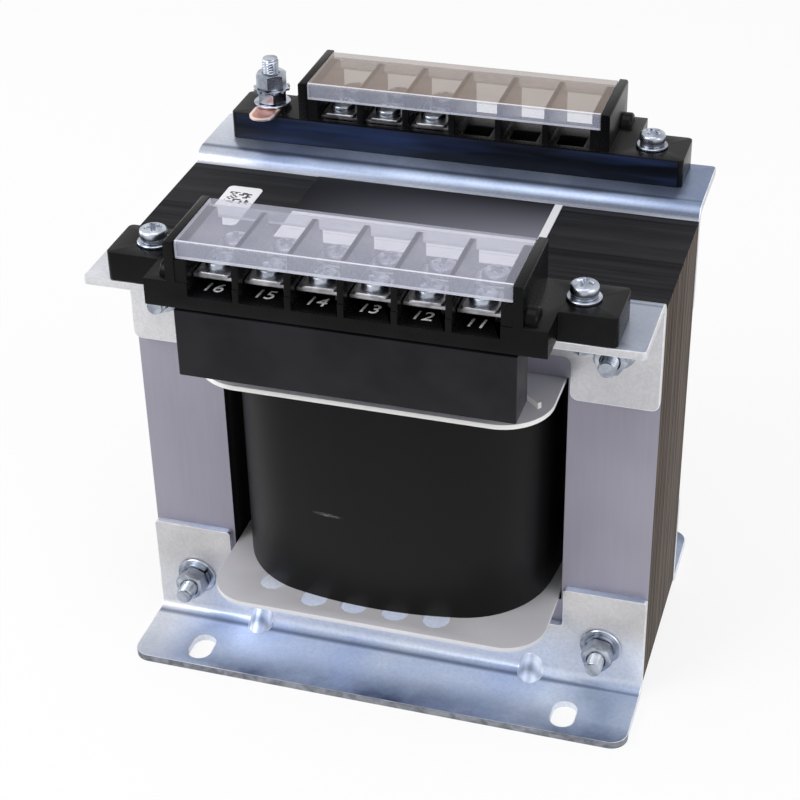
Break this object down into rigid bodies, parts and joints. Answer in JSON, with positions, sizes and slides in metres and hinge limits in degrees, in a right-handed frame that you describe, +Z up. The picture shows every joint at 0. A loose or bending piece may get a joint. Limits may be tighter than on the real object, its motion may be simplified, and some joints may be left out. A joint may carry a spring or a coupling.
{
  "type": "chassis transformer",
  "caption": "Laminated control transformer on bent L-section feet, with a covered barrier terminal block on each side of the top and an earth stud.",
  "frame": {"origin": "centre of the footprint, in the plane of the feet's undersides", "axes": "+Z up; -Y towards the numbered terminals; +X to the right when seen from that side"},
  "size_m": [0.15, 0.128, 0.1552],
  "materials": {
    "core_steel": "varnished lamination edges, satin",
    "former_nylon": "satin moulding",
    "copper_winding": "enamelled wire",
    "insulation_film": "film wrap",
    "black_wrap": "satin film",
    "zinc_sheet": "bright zinc plating",
    "zinc_fastener": "bright zinc plating",
    "black_moulding": "gloss moulding",
    "guard_moulding": "satin moulding",
    "clear_cover": "clear moulding",
    "tinned_strip": "tin plating",
    "copper_tag": "bare copper",
    "label_white": "printed film"
  },
  "bodies": {
    "root": {"core_laminations": "core_steel", "bobbin": "former_nylon", "primary_winding": "copper_winding", "interlayer_insulation": "insulation_film", "secondary_winding": "copper_winding", "outer_wrap": "black_wrap", "foot_bracket_front": "zinc_sheet", "foot_bracket_rear": "zinc_sheet", "top_bracket_front": "zinc_sheet", "top_bracket_rear": "zinc_sheet", "clamp_bolts": "zinc_fastener", "clamp_nuts": "zinc_fastener", "clamp_spring_washers": "zinc_fastener", "clamp_flat_washers": "zinc_fastener", "terminal_block_front": "black_moulding", "terminal_block_rear": "black_moulding", "terminal_cover_front": "clear_cover", "terminal_cover_rear": "clear_cover", "lead_guard_front": "guard_moulding", "lead_guard_rear": "guard_moulding", "terminal_strips_front": "tinned_strip", "terminal_strips_rear": "tinned_strip", "terminal_screws_front": "zinc_fastener", "terminal_screws_rear": "zinc_fastener", "clamp_plates_front": "zinc_fastener", "clamp_plates_rear": "zinc_fastener", "block_screws": "zinc_fastener", "block_spring_washers": "zinc_fastener", "block_flat_washers": "zinc_fastener", "block_nuts": "zinc_fastener", "earth_stud": "zinc_fastener", "earth_nuts": "zinc_fastener", "earth_washers": "zinc_fastener", "earth_tag": "copper_tag", "rating_plate": "label_white", "code_sticker": "label_white"}
  },
  "joints": []
}
